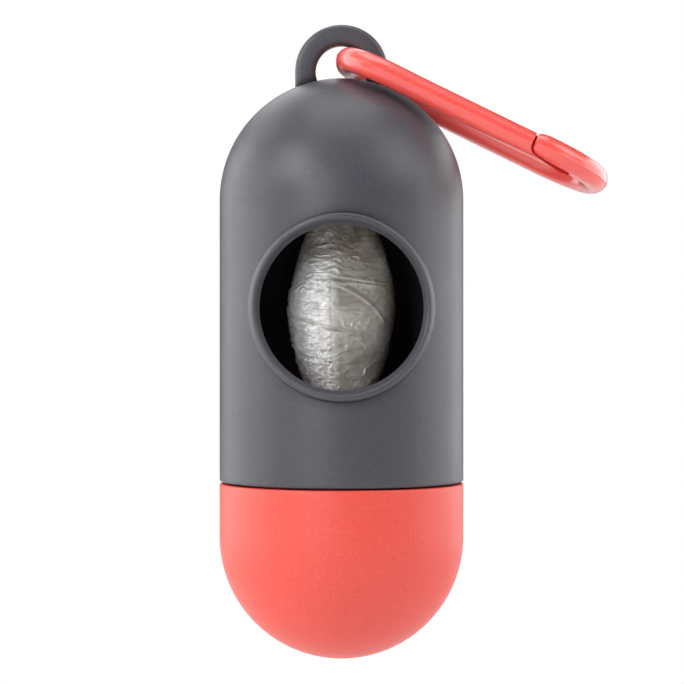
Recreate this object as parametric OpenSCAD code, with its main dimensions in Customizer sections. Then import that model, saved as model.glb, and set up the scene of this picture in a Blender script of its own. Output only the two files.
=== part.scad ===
/* [Case] */
// Outside diameter of the capsule
body_d = 40; // [37:0.5:46]
// Wall thickness of the case
case_wall = 1.8; // [1.4:0.1:2.4]
// Straight length of the case below its dome
case_straight = 46; // [42:1:56]
// Straight length of the cap above its dome
cap_straight = 9; // [6:0.5:16]
// Gap left all round between the closed case and cap
seam_gap = 0.3; // [0.1:0.1:0.6]
// Rounding of the two edges that meet at the seam
seam_round = 0.3; // [0.1:0.1:0.5]

/* [Window] */
// Diameter of the window in the front of the case
window_d = 26; // [20:0.5:27]
// Distance of the window's centre below the centre of the dome
window_drop = 17.8; // [16:0.2:20]
// Width of the raised lip round the window
lip_w = 1.7; // [1.2:0.05:2.4]
// Height of the lip above the case
lip_h = 0.8; // [0.4:0.1:1.4]

/* [Hanging eye] */
// Diameter of the hole in the eye
eye_d = 8.5; // [7.5:0.1:11]
// Width of the band round the hole
eye_band = 3.35; // [2.4:0.05:4.4]
// Thickness of the band from front to back
eye_t = 3.5; // [2.6:0.1:5]
// Rounding of the band's edges
eye_round = 0.9; // [0.3:0.1:1.1]
// Height of the eye's centre above the top of the dome
eye_lift = 1.2; // [0.6:0.1:3]

/* [Screw thread] */
// Rise of the thread in one turn
pitch = 3; // [2.8:0.1:4]
// Number of turns
turns = 1.25; // [1:0.05:1.4]
// Height of the ridge above its root
ridge_h = 0.75; // [0.5:0.05:1]
// Width of the ridge at its root
ridge_w = 1.5; // [1.2:0.1:1.6]
// Width of the ridge at its crest
ridge_crest_w = 0.8; // [0.5:0.1:1]
// Radial clearance between the neck and the case
thread_gap = 0.25; // [0.15:0.05:0.4]
// Height of the cap's neck
neck_h = 9; // [8.5:0.1:12]
// Wall thickness of the neck under its thread
neck_wall = 1.5; // [1:0.1:2.5]

/* [Inside the cap] */
// Thickness of the cap at its lowest point
cap_floor = 1.8; // [1.2:0.1:3]
// Diameter of the post where it meets the floor
post_base_d = 12; // [9:0.5:16]
// Diameter of the post under the roll
post_top_d = 9; // [8:0.5:12]
// Diameter of the hollow down the post
post_bore_d = 2.6; // [1.5:0.1:3.4]
// Length of the spigot that enters the roll core
spigot_l = 6; // [3:0.5:12]
// Clearance round the spigot
spigot_gap = 0.08; // [0.02:0.01:0.1]
// Gap between the post and the foot of the core
seat_gap = 0.1; // [0.05:0.05:0.3]
// Thickness of the four ribs round the post
rib_t = 1.2; // [0.8:0.1:2]
// Height of the ribs above the floor
rib_h = 12; // [5:0.5:16]

/* [Bag roll] */
// Length of the wound film
roll_l = 54; // [44:1:62]
// Diameter of the roll at its middle
roll_d = 17.7; // [14:0.1:26]
// Diameter of the roll at its ends
roll_end_d = 9; // [8.6:0.1:13]
// Length of the full middle, beyond which the roll is thin
roll_belly_l = 36; // [24:1:42]
// Outside diameter of the core tube
core_d = 7.2; // [6.4:0.1:8]
// Wall thickness of the core tube
core_wall = 0.8; // [0.5:0.1:1.1]
// How far the core stands out at each end of the film
core_proud = 1; // [0:0.5:3]
// Clearance between the core and the film wound on it
core_gap = 0.05; // [0.02:0.01:0.1]
// Thickness of the outermost bag, folded as it is wound
bag_t = 0.3; // [0.2:0.05:0.6]
// Clearance between the outermost bag and the rest
bag_gap = 0.05; // [0.02:0.01:0.1]
// How far round the roll the outermost bag reaches
bag_wrap = 230; // [120:5:300]

/* [Clip] */
// Diameter of the clip's round section
wire_d = 4; // [3.4:0.1:4.4]
// Overall length of the clip
clip_l = 48.9; // [44:0.1:60]
// Distance between the centres of its two long sides
clip_w = 18; // [17:0.5:24]
// Straight stretch across the end that bears in the eye
end_l = 4; // [3.6:0.2:6]
// Play between the clip and the eye's edge
eye_play = 0.3; // [0.2:0.05:0.6]
// Gap between the clip and the shoulder of the dome
shoulder_gap = 0.83; // [0.3:0.01:1.5]
// Direction from the eye's centre in which the clip bears, up from the right
bearing_angle = 55; // [40:1:80]
// Diameter of the gate
gate_d = 3.9; // [3.2:0.1:4]
// Thickness of the gate where it bends
flex_t = 2.6; // [2:0.1:3.2]
// Distance of the bending place from the end of the clip
flex_x = 14; // [13:0.5:17]
// Length of the thinned stretch
flex_l = 6; // [4:0.5:8]
// Diameter of the nose at its end, where it laps over the gate
nose_d = 4.8; // [4.1:0.1:5]
// Rounding of the lower corner of the nose's end
nose_round = 1; // [0.4:0.1:1.4]
// Distance from the nose's end to the far end of the clip
nose_back = 14; // [13.5:0.1:16]
// Length of the gate's tip under the nose
tip_l = 7; // [5:0.1:7.5]
// Gap between the gate's tip and the nose
tip_gap = 0.3; // [0.15:0.05:0.5]
// Turn of the lapped faces about the length of the clip
tip_tilt = 42; // [20:1:60]
// Slope of the lapped faces along the clip, which thins the gate's tip
tip_slope = 12; // [4:1:15]

/* [Hidden] */
$fn = 96;
grey = "#55545a";
coral = "#f3645a";
coral_gloss = "#ff5f5c";
film = "#c9c7c4";
paper = "#b99f7c";

body_r = body_d / 2;
case_r = body_r - case_wall;
dome_z = -(body_r + eye_lift);
case_z = dome_z - case_straight;
cap_z = case_z - seam_gap;
cap_dome_z = case_z - cap_straight;
window_z = dome_z - window_drop;
window_r = window_d / 2;
cut = 1;
bury = 0.3;

// Thread: the neck's crest and the case's crest pass each other's root by thread_gap
neck_crest_r = case_r - thread_gap;
neck_r = neck_crest_r - ridge_h;
neck_bore_r = neck_r - neck_wall;
case_crest_r = case_r - ridge_h;
case_ridge_z = case_z + ridge_w;
neck_ridge_z = case_ridge_z + pitch / 2;
ridge_steps = 48;
ridge_ramp = 6;

// Cap and the post in it
bowl_z = cap_dome_z - body_r + cap_floor + neck_bore_r;
bowl_floor_z = bowl_z - neck_bore_r;

// Roll, level with the window, and its core, which stands on the post
roll_z = window_z;
core_l = roll_l + 2 * core_proud;
core_foot_z = roll_z - core_l / 2;
core_r = core_d / 2;
core_bore_r = core_r - core_wall;
post_z = core_foot_z - seat_gap;
belly_steps = 14;

// Clip: its frame of reference starts where the end of the ring passes through the eye
wire_r = wire_d / 2;
side_y = clip_w / 2;
bend_r = (clip_w - end_l) / 2;
pivot_r = eye_d / 2 - wire_r - eye_play;
pivot = [pivot_r * cos(bearing_angle), 0, pivot_r * sin(bearing_angle)];
pivot_rise = pivot.z - dome_z;
bar_drop = sqrt(pow(body_r + wire_r + shoulder_gap, 2) - pow(side_y, 2));
droop = acos(bar_drop / norm([pivot.x, pivot_rise])) + atan2(pivot.x, pivot_rise);
far_x = clip_l - wire_d - side_y;
hinge_x = flex_x - wire_r;
nose_x = clip_l - wire_r - nose_back;
gate_r = gate_d / 2;
knuckle_r = gate_r - 0.15;
socket_r = wire_r + 0.05;
nose_r = nose_d / 2;
lap_z = wire_r * cos(tip_tilt);

// Triangles between successive rings of a swept outline
function wrap(i, n) = i >= n ? i - n : i;
function skin(rings, sides, closed, flip) = [
    for (i = [0 : rings - (closed ? 1 : 2)], j = [0 : sides - 1])
        let (a = i * sides + j, b = i * sides + wrap(j + 1, sides),
             k = wrap(i + 1, rings) * sides, c = k + wrap(j + 1, sides), d = k + j)
        for (t = flip ? [[a, b, c], [a, c, d]] : [[c, b, a], [d, c, a]]) t
];
function lid(start, sides, flip) = [
    for (j = [1 : sides - 2]) flip ? [start, start + j + 1, start + j] : [start, start + j, start + j + 1]
];

// Right half of a bullet outline: a quarter round of radius r over a straight side
module bullet(r, straight) {
    intersection() {
        union() {
            circle(r);
            translate([-r, -straight]) square([2 * r, straight]);
        }
        translate([0, -straight]) square([2 * r, straight + 2 * r]);
    }
}

// Outline that breaks the corner at [r, 0] on the side of z given by up
module corner_cut(r, up) {
    polygon([[r - seam_round, 0], [r + cut, 0], [r + cut, up * seam_round * 4], [r, up * seam_round]]);
}

// Thread ridge on a wall of radius root_r; out is 1 on the neck and -1 in the case
module ridge(root_r, z0, out) {
    n = ceil(turns * ridge_steps);
    points = [
        for (i = [0 : n])
            let (a = 360 * turns * i / n, z = z0 + pitch * turns * i / n,
                 h = ridge_h * max(0.04, min(1, min(i, n - i) / ridge_ramp)))
            for (p = [[-bury, -ridge_w / 2], [h, -ridge_crest_w / 2], [h, ridge_crest_w / 2], [-bury, ridge_w / 2]])
                let (r = root_r + out * p.x) [r * cos(a), r * sin(a), z + p.y]
    ];
    flip = out > 0;
    polyhedron(points, concat(skin(n + 1, 4, false, flip), lid(0, 4, flip), lid(n * 4, 4, !flip)));
}

// Rounded lip that follows the case round the window
module window_lip() {
    outer = window_r + lip_w;
    inner = window_r - bury;
    crest = window_r + 0.62 * lip_w;
    side = [[outer, -bury], [outer, 0.35 * lip_h]];
    shoulder = [for (a = [20 : 20 : 80])
        [crest + (outer - crest) * cos(a), lip_h * (0.35 + 0.65 * sin(a))]];
    fall = [for (s = [0 : 0.25 : 1])
        [crest - (crest - inner) * s, lip_h - (lip_h + bury) * pow(s, 2)]];
    outline = concat(side, shoulder, fall, [[inner, -2 * bury]]);
    rings = 72;
    points = [
        for (i = [0 : rings - 1], p = outline)
            let (a = 360 * i / rings, x = p.x * cos(a))
            [x, -sqrt(pow(body_r + p.y, 2) - x * x), window_z + p.x * sin(a)]
    ];
    polyhedron(points, skin(rings, len(outline), true, true));
}

// Rectangle with rounded corners, as the section of the eye's band
module band_section() {
    r = min(eye_round, eye_band / 2 - 0.1, eye_t / 2 - 0.1);
    corners = [[1, 1, 0], [-1, 1, 90], [-1, -1, 180], [1, -1, 270]];
    polygon([
        for (c = corners, a = [0 : 15 : 90])
            [c.x * (eye_band / 2 - r) + r * cos(c.z + a), c.y * (eye_t / 2 - r) + r * sin(c.z + a)]
    ]);
}

// Flat arch on top of the dome
module eye() {
    band_r = (eye_d + eye_band) / 2;
    leg = -dome_z - 0.8 * case_r;
    rotate([90, 0, 0]) rotate_extrude(angle = 180) translate([band_r, 0]) band_section();
    for (side = [-1, 1])
        translate([side * band_r, 0, -leg]) linear_extrude(leg) band_section();
}

module case() color(grey) {
    difference() {
        union() {
            translate([0, 0, dome_z]) rotate_extrude() bullet(body_r, case_straight);
            window_lip();
            eye();
        }
        translate([0, 0, dome_z]) rotate_extrude() bullet(case_r, case_straight + cut);
        translate([0, 0, case_z]) rotate_extrude() corner_cut(body_r, 1);
        translate([0, 0, window_z]) rotate([90, 0, 0]) cylinder(h = body_r + lip_h + cut, r = window_r);
    }
    ridge(case_r, case_ridge_z, -1);
}

// Post that carries the roll, with its spigot and ribs
module post() {
    h = post_z - bowl_floor_z;
    difference() {
        union() {
            translate([0, 0, bowl_floor_z - bury]) cylinder(h = h + bury, d1 = post_base_d, d2 = post_top_d);
            translate([0, 0, post_z - bury]) cylinder(h = spigot_l + bury, r = core_bore_r - spigot_gap);
            intersection() {
                for (a = [0, 90])
                    rotate(a) translate([-neck_bore_r, -rib_t / 2, bowl_floor_z - bury])
                        cube([2 * neck_bore_r, rib_t, rib_h]);
                translate([0, 0, bowl_floor_z - bury])
                    cylinder(h = rib_h, r1 = neck_bore_r, r2 = post_base_d / 2 + rib_t);
            }
        }
        translate([0, 0, bowl_floor_z + rib_h / 2]) cylinder(h = h + spigot_l, d = post_bore_d);
    }
}

module cap() color(coral) {
    difference() {
        union() {
            translate([0, 0, cap_dome_z]) rotate([180, 0, 0]) rotate_extrude()
                bullet(body_r, cap_straight - seam_gap);
            translate([0, 0, cap_z - cut]) cylinder(h = neck_h + cut, r = neck_r);
        }
        difference() {
            translate([0, 0, bowl_z]) rotate([180, 0, 0]) rotate_extrude()
                bullet(neck_bore_r, cap_z + neck_h - bowl_z + cut);
            post();
        }
        translate([0, 0, cap_z]) rotate_extrude() corner_cut(body_r, -1);
    }
    ridge(neck_r, neck_ridge_z, 1);
}

module roll_core() color(paper)
    translate([0, 0, core_foot_z]) difference() {
        cylinder(h = core_l, r = core_r);
        translate([0, 0, -cut]) cylinder(h = core_l + 2 * cut, r = core_bore_r);
    }

// Radius of the wound film at height z from its middle
function roll_r(z) =
    let (s = min(1, abs(z) / (roll_belly_l / 2)))
    roll_end_d / 2 + (roll_d - roll_end_d) / 2 * pow(1 - s * s, 1.45);
belly = [for (i = [-belly_steps : belly_steps]) roll_belly_l / 2 * i / belly_steps];
roll_heights = concat([-roll_l / 2], belly, [roll_l / 2]);

module bag_roll() color(film)
    translate([0, 0, roll_z]) rotate_extrude() polygon(concat(
        [[core_r + core_gap, -roll_l / 2]],
        [for (z = roll_heights) [roll_r(z) - bag_t - bag_gap, z]],
        [[core_r + core_gap, roll_l / 2]]
    ));

module outer_bag() color(film)
    translate([0, 0, roll_z]) rotate([0, 0, 270 - bag_wrap / 2]) rotate_extrude(angle = bag_wrap) polygon(concat(
        [for (z = roll_heights) [roll_r(z), z]],
        [for (i = [len(roll_heights) - 1 : -1 : 0]) [roll_r(roll_heights[i]) - bag_t, roll_heights[i]]]
    ));

// Lies along the clip, from the end of the ring that passes through the eye
module clip_place() translate(pivot) rotate([0, droop, 0]) children();

module bar(x0, x1, y, r0, r1) translate([x0, y, 0]) rotate([0, 90, 0]) cylinder(h = x1 - x0, r1 = r0, r2 = r1);

// Bend of radius size about [x, y], from direction a0
module bend(x, y, size, a0, sweep, r) translate([x, y, 0]) rotate(a0) rotate_extrude(angle = sweep)
    translate([size, 0]) circle(r);

// End of the ring in the eye: two quarter bends joined by the stretch across
module near_end() {
    for (i = [0, 1]) bend(bend_r, end_l * (0.5 - i), bend_r, 90 + 90 * i, 90, wire_r);
    translate([0, end_l / 2, 0]) rotate([90, 0, 0]) cylinder(h = end_l, r = wire_r);
}

// Nose of the ring, thickest at its end, with the corner over the gate's tip rounded
module nose() difference() {
    bar(nose_x, far_x, -side_y, nose_r, wire_r);
    translate([nose_x, -side_y, -lap_z]) difference() {
        translate([-cut, -nose_d, -nose_d]) cube([nose_round + cut, 2 * nose_d, nose_d + nose_round]);
        translate([nose_round, nose_d, nose_round]) rotate([90, 0, 0]) cylinder(h = 2 * nose_d, r = nose_round);
    }
}

// Block on one side of the lapped faces, from x0 to x1 along the nose
module lap_side(x0, x1, y0) translate([nose_x, -side_y, 0]) rotate([-tip_tilt, 0, 0])
    rotate([0, 0, tip_slope]) translate([x0, y0, -nose_d]) cube([x1 - x0, nose_d, 2 * nose_d]);

module clip_frame() color(coral_gloss) clip_place() {
    difference() {
        union() {
            near_end();
            bar(bend_r, hinge_x, -side_y, wire_r, wire_r);
        }
        translate([hinge_x, -side_y, -wire_d]) cylinder(h = 2 * wire_d, r = socket_r);
    }
    bar(bend_r, far_x, side_y, wire_r, wire_r);
    difference() {
        union() {
            bend(far_x, 0, side_y, -90, 180, wire_r);
            nose();
        }
        lap_side(-cut, tip_l + tip_gap, -tip_gap);
    }
}

module clip_gate() color(coral_gloss) clip_place() difference() {
    union() {
        intersection() {
            bar(hinge_x - wire_d, nose_x - tip_gap, -side_y, gate_r, gate_r);
            union() {
                translate([hinge_x, -side_y, -wire_d]) cylinder(h = 2 * wire_d, r = knuckle_r);
                translate([hinge_x, -side_y - wire_d, -wire_d]) cube([clip_l, 2 * wire_d, 2 * wire_d]);
            }
        }
        intersection() {
            union() {
                bar(nose_x - wire_d, far_x, -side_y, gate_r, gate_r);
                bend(far_x, 0, side_y, -90, 60, gate_r);
            }
            lap_side(-wire_d, tip_l, 0);
        }
    }
    translate([hinge_x + flex_l / 2, -side_y + flex_t - gate_r + flex_l * 2, -wire_d])
        cylinder(h = 2 * wire_d, r = flex_l * 2);
}

case();
cap();
roll_core();
bag_roll();
outer_bag();
clip_frame();
clip_gate();
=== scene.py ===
import math
import bpy
import bmesh
from mathutils import Matrix, Vector, noise


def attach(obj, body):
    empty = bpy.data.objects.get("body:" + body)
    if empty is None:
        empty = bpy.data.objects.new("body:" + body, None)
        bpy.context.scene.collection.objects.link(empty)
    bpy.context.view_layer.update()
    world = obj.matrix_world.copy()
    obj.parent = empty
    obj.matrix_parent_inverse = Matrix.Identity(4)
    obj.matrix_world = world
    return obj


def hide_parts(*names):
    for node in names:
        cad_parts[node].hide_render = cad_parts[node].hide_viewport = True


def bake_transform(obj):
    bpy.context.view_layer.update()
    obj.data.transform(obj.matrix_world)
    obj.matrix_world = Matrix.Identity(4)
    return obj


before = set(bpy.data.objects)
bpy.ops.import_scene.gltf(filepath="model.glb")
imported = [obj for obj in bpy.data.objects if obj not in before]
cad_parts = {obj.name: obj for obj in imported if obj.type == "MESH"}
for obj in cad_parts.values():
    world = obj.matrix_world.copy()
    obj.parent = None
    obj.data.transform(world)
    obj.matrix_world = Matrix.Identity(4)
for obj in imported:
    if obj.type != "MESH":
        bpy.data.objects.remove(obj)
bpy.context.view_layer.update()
MM = 0.001


# ---- Camera ----
# Level, on the capsule's axis and 355 mm in front of it, with a long lens, so that it looks straight
# at the window and shows little of the sides.
camera_data = bpy.data.cameras.new("camera")
camera_data.lens = 113.7
camera_data.sensor_width = 36
camera_data.clip_start = 0.01
camera = bpy.data.objects.new("camera", camera_data)
camera.location = (0.08 * MM, -355 * MM, -44.4 * MM)
camera.rotation_euler = (math.radians(90), 0, 0)
bpy.context.scene.collection.objects.link(camera)
bpy.context.scene.camera = camera


# ---- Case ----
# The upper shell: a domed tube moulded in one piece of dark grey ABS with a soft, finely grained
# finish. A round window with a raised lip is cut in its front, and a flat eye stands on its dome.
BODY_R = 20 * MM
CASE_INNER_R = 18.2 * MM
DOME_Z = -21.2 * MM
CASE_FOOT_Z = -67.2 * MM
SEAM_ROUND = 0.35 * MM
BORE_EDGE = 0.2 * MM
COLUMNS = 144
FRONT = -math.pi / 2

# The real grain is finer still: GRAIN is as coarse as it needs to be to show
GRAIN = 0.16 * MM
GRAIN_DEPTH = 0.03 * MM
CLOUD = 9 * MM
CREVICE = 2 * MM


def linear(code):
    """sRGB hex to the linear colour that a shader takes."""
    parts = [int(code[i:i + 2], 16) / 255 for i in (1, 3, 5)]
    return tuple(c / 12.92 if c <= 0.04045 else ((c + 0.055) / 1.055) ** 2.4 for c in parts) + (1,)


def feed(tree, node, inputs):
    """Sets a node's inputs, each to a value or to what it is linked to: a socket or another node."""
    for name, value in inputs.items():
        if isinstance(value, bpy.types.Node):
            value = next(output for output in value.outputs if output.enabled)
        if isinstance(value, bpy.types.NodeSocket):
            tree.links.new(value, node.inputs[name])
        else:
            node.inputs[name].default_value = value


def add(tree, kind, inputs=(), **settings):
    """Adds a node with its own settings, and feeds its inputs."""
    new = tree.nodes.new(kind)
    for name, value in settings.items():
        setattr(new, name, value)
    feed(tree, new, dict(inputs))
    return new


def new_material(name, **values):
    """A material with the values that are the same all over it set on the shader's sockets."""
    material = bpy.data.materials.new(name)
    material.use_nodes = True
    shader = material.node_tree.nodes["Principled BSDF"]
    for socket, value in values.items():
        shader.inputs[socket.replace("_", " ")].default_value = value
    return material, material.node_tree, shader


def matt_moulding(name, colour, worn, roughness, shade_above):
    """ABS from a spark-eroded tool: its fine grain breaks highlights up into a broad soft sheen.

    Specks about three grains wide are rubbed a little paler, and the gloss changes slowly across it.
    Little light gets into crevices, such as the groove round the lip: above the height shade_above
    shade is painted into them, which darkens their colour towards black and lowers their gloss."""
    material, tree, shader = new_material(name, IOR=1.5)
    at = add(tree, "ShaderNodeTexCoord").outputs["Object"]
    grain = add(tree, "ShaderNodeTexNoise", {"Vector": at, "Scale": 1 / GRAIN, "Detail": 2})
    specks = add(tree, "ShaderNodeTexNoise", {"Vector": at, "Scale": 0.35 / GRAIN, "Detail": 4})
    cloud = add(tree, "ShaderNodeTexNoise", {"Vector": at, "Scale": 1 / CLOUD, "Detail": 3})
    rubbed = add(tree, "ShaderNodeMapRange", {0: specks, 1: 0.35, 2: 0.75})
    mixed = add(tree, "ShaderNodeMix", {0: rubbed, 6: linear(colour), 7: linear(worn)}, data_type="RGBA")
    # Painted shade: occlusion finds the crevices, and their colour is mixed towards black there
    occlusion = add(tree, "ShaderNodeAmbientOcclusion", {"Distance": CREVICE}, samples=8, only_local=True)
    open_share = add(tree, "ShaderNodeMapRange", {
        0: occlusion.outputs["AO"], 1: 0.55, 2: 0.97, 3: 0.12, 4: 1})
    height = add(tree, "ShaderNodeSeparateXYZ", {"Vector": at}).outputs["Z"]
    below = add(tree, "ShaderNodeMapRange", {0: height, 1: shade_above, 2: shade_above - CREVICE})
    clear = add(tree, "ShaderNodeMath", {0: open_share, 1: below}, operation="MAXIMUM")
    shaded = add(tree, "ShaderNodeMix", {0: clear, 6: linear("#000000"), 7: mixed}, data_type="RGBA")
    level = add(tree, "ShaderNodeMath", {0: clear, 1: 0.5}, operation="MULTIPLY")
    gloss = add(tree, "ShaderNodeMapRange", {
        0: cloud, 1: 0.3, 2: 0.7, 3: roughness - 0.03, 4: roughness + 0.03})
    bump = add(tree, "ShaderNodeBump", {"Strength": 0.35, "Distance": GRAIN_DEPTH, "Height": grain})
    feed(tree, shader, {
        "Base Color": shaded, "Specular IOR Level": level, "Roughness": gloss, "Normal": bump})
    return material


def lay(shell, rows, wrap=False):
    """Adds rows of points to shell with a face between each four; wrap joins each row's ends."""
    points, faces = shell
    start, width = len(points), len(rows[0])
    for row in rows:
        points.extend(row)
    for i in range(len(rows) - 1):
        for j in range(width if wrap else width - 1):
            a, k = start + i * width, (j + 1) % width
            faces.append((a + j, a + k, a + width + k, a + width + j))


SAME_PLACE = 0.0002 * MM
NO_LENGTH = 0.0005 * MM


def weld(mesh):
    """Merges a mesh's doubled points, removes faces without area and turns the rest outwards."""
    welded = bmesh.new()
    welded.from_mesh(mesh)
    bmesh.ops.remove_doubles(welded, verts=welded.verts, dist=SAME_PLACE)
    bmesh.ops.dissolve_degenerate(welded, edges=welded.edges, dist=NO_LENGTH)
    bmesh.ops.recalc_face_normals(welded, faces=welded.faces)
    welded.to_mesh(mesh)
    welded.free()


def smooth(mesh, sharp):
    """Shades a mesh smooth, but for its edges that are sharper than the given degrees."""
    mesh.shade_smooth()
    mesh.set_sharp_from_angle(angle=math.radians(sharp))


def mesh_piece(name, shell, material, sharp=40):
    """Welds a shell of points and faces into a smooth closed piece."""
    mesh = bpy.data.meshes.new(name)
    mesh.from_pydata([tuple(p) for p in shell[0]], [], shell[1])
    weld(mesh)
    smooth(mesh, sharp)
    mesh.materials.append(material)
    piece = bpy.data.objects.new(name, mesh)
    bpy.context.scene.collection.objects.link(piece)
    return piece


def settle(piece):
    """Turns a piece's modifiers into plain mesh."""
    evaluated = piece.evaluated_get(bpy.context.evaluated_depsgraph_get())
    mesh = bpy.data.meshes.new_from_object(evaluated)
    piece.modifiers.clear()
    piece.data = mesh


def steps(first, last, n):
    """Numbers from first to last in n equal steps."""
    return [first + (last - first) * i / n for i in range(n + 1)]


def ring(radius, z, columns=range(COLUMNS)):
    """Points round the axis, counted from the front of the case."""
    return [Vector((radius * math.cos(FRONT + math.tau * j / COLUMNS),
                    radius * math.sin(FRONT + math.tau * j / COLUMNS), z)) for j in columns]


def seam_edge(z, way):
    """The rounded outer edge of a shell that ends at z, facing up (way 1) or down (way -1)."""
    middle_r, middle_z = BODY_R - SEAM_ROUND, z - way * SEAM_ROUND
    return [(middle_r + SEAM_ROUND * math.cos(a), middle_z + way * SEAM_ROUND * math.sin(a))
            for a in steps(0, math.pi / 2, 6)]


# The window and its lip: the outer side rounds over into the crest, and the inner one falls in a curve
# to LIP_FALL_R and ends LIP_DEPTH deep in the wall
WINDOW_Z = -39 * MM
WINDOW_R = 13 * MM
LIP_OUTER_R = 14.7 * MM
LIP_CREST_R = 14.05 * MM
LIP_H = 0.8 * MM
LIP_SIDE_H = 0.28 * MM
LIP_FOOT = 0.2 * MM
LIP_FALL_R = 13.12 * MM
LIP_FALL = 1.15 * MM
LIP_DEPTH = 0.65 * MM

# Round the window the rows and columns give way to rings that grow from its lip to a square
PATCH = 24
PATCH_TOP = WINDOW_Z + 17 * MM
PATCH_FOOT = WINDOW_Z - 17 * MM
patch_rows = steps(PATCH_FOOT, PATCH_TOP, 2 * PATCH)
side = [(PATCH, z) for z in patch_rows[:-1]]
top = [(j, PATCH_TOP) for j in range(PATCH, -PATCH, -1)]
far_side = [(-PATCH, z) for z in reversed(patch_rows[1:])]
foot = [(j, PATCH_FOOT) for j in range(-PATCH, PATCH)]
square = side + top + far_side + foot
around = [math.radians(-45) + math.tau * k / len(square) for k in range(len(square))]


def on_wall(x, up, wall_r):
    """The point of the front wall seen at x, up from the window's centre."""
    return Vector((x, -math.sqrt(wall_r ** 2 - x ** 2), WINDOW_Z + up))


def round_ring(radius, wall_r):
    """A ring round the window, at a radius seen from the front, on a wall of the given radius."""
    return [on_wall(radius * math.cos(a), radius * math.sin(a), wall_r) for a in around]


def square_ring(radius, wall_r, share):
    """A ring round the window, share of the way from a circle to the square."""
    points = []
    for a, (j, z) in zip(around, square):
        corner = Vector((wall_r * math.sin(math.tau * j / COLUMNS), z - WINDOW_Z))
        p = Vector((math.cos(a), math.sin(a))) * radius
        p = p.lerp(corner, share)
        points.append(on_wall(p.x, p.y, wall_r))
    return points


case_shell = ([], [])
dome = [math.radians(90 - 2.5 * i) for i in range(37)]
for wall_r in (BODY_R, CASE_INNER_R):
    dome_rings = [ring(wall_r * math.cos(a), DOME_Z + wall_r * math.sin(a)) for a in dome]
    lay(case_shell, dome_rings + [ring(wall_r, PATCH_TOP)], wrap=True)
straight = steps(PATCH_FOOT, CASE_FOOT_Z + SEAM_ROUND, 14)
lower = [(BODY_R, z) for z in straight[:-1]] + seam_edge(CASE_FOOT_Z, -1)
lower += [(CASE_INNER_R + BORE_EDGE, CASE_FOOT_Z), (CASE_INNER_R, CASE_FOOT_Z + BORE_EDGE)]
lower += [(CASE_INNER_R, z) for z in reversed(straight)]
lay(case_shell, [ring(r, z) for r, z in lower], wrap=True)
rest_of_turn = range(PATCH, COLUMNS - PATCH + 1)
for wall_r in (BODY_R, CASE_INNER_R):
    lay(case_shell, [ring(wall_r, z, rest_of_turn) for z in patch_rows])

# The lip's outline, as its radius and its height above the wall
lip = [(LIP_OUTER_R + LIP_FOOT, 0), (LIP_OUTER_R + 0.2 * LIP_FOOT, 0.15 * LIP_FOOT)]
lip += [(LIP_OUTER_R, LIP_SIDE_H)]
lip += [(LIP_CREST_R + (LIP_OUTER_R - LIP_CREST_R) * math.cos(a),
         LIP_SIDE_H + (LIP_H - LIP_SIDE_H) * math.sin(a)) for a in steps(math.radians(15), math.pi / 2, 6)]
lip += [(LIP_CREST_R - (LIP_CREST_R - LIP_FALL_R) * s, LIP_H - LIP_FALL * s ** 1.8)
        for s in steps(0.1, 1, 8)]
lip += [(WINDOW_R + 0.04 * MM, 0.2 * MM - LIP_DEPTH), (WINDOW_R, -LIP_DEPTH)]
rings = [square_ring(LIP_OUTER_R + LIP_FOOT, BODY_R, s) for s in (1, 0.75, 0.5, 0.28, 0.12)]
rings += [round_ring(r, BODY_R + h) for r, h in lip]
hole = round_ring(WINDOW_R, CASE_INNER_R)
rings += [[p.lerp(q, s) for p, q in zip(rings[-1], hole)] for s in (0.15, 0.5, 0.85, 1)]
rings += [square_ring(WINDOW_R, CASE_INNER_R, s) for s in (0.15, 0.4, 0.7, 1)]
lay(case_shell, rings, wrap=True)

# The eye: a flat arch whose legs run straight down outside and follow the hole inside
EYE_R = 4.25 * MM
EYE_OUTER_R = 7.6 * MM
EYE_THICK = 3.5 * MM
EYE_ROUND = 0.9 * MM
EYE_LEG_DEGREES = 28
eye_shell = ([], [])
eye_rows = []
for a in steps(math.radians(-EYE_LEG_DEGREES), math.radians(180 + EYE_LEG_DEGREES), 60):
    inner = Vector((math.cos(a), math.sin(a))) * EYE_R
    outer = Vector((math.cos(a), math.sin(a))) * EYE_OUTER_R
    if a < 0 or a > math.pi:
        outer *= EYE_OUTER_R / abs(outer.x)
    across = (outer - inner).normalized()
    row = []
    for turn, end, face in ((0, outer, 1), (90, inner, 1), (180, inner, -1), (270, outer, -1)):
        for b in steps(math.radians(turn), math.radians(turn + 90), 6):
            sideways = EYE_ROUND * (math.cos(b) - (1 if turn in (0, 270) else -1))
            p = end + across * sideways
            row.append(Vector((p.x, face * (EYE_THICK / 2 - EYE_ROUND) + EYE_ROUND * math.sin(b), p.y)))
    eye_rows.append(row)
lay(eye_shell, eye_rows, wrap=True)
for start in (0, len(eye_shell[0]) - len(eye_rows[0])):
    eye_shell[1].append(tuple(range(start, start + len(eye_rows[0]))))

case_abs = matt_moulding("case_abs", "#403f46", worn="#48474d", roughness=0.43, shade_above=-62 * MM)
case = mesh_piece("case_shell", case_shell, case_abs)
eye = mesh_piece("case_eye", eye_shell, case_abs)
union = case.modifiers.new("union", "BOOLEAN")
union.operation = "UNION"
union.solver = "EXACT"
union.object = eye
settle(case)
bpy.data.objects.remove(eye)
case.data.set_sharp_from_angle(angle=math.radians(40))
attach(case, "case_body")
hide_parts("case")


# ---- Thread in the case ----
# One ridge, moulded with the case inside its foot, that climbs 3 mm in a turn. It runs out over the
# share RUN_OUT of its length at both ends, so that the cap's ridge finds its way in.
PITCH = 3 * MM
TURNS = 1.25
RIDGE_W = 1.5 * MM
CREST_W = 0.8 * MM
RIDGE_H = 0.75 * MM
RUN_OUT = 0.07


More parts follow.
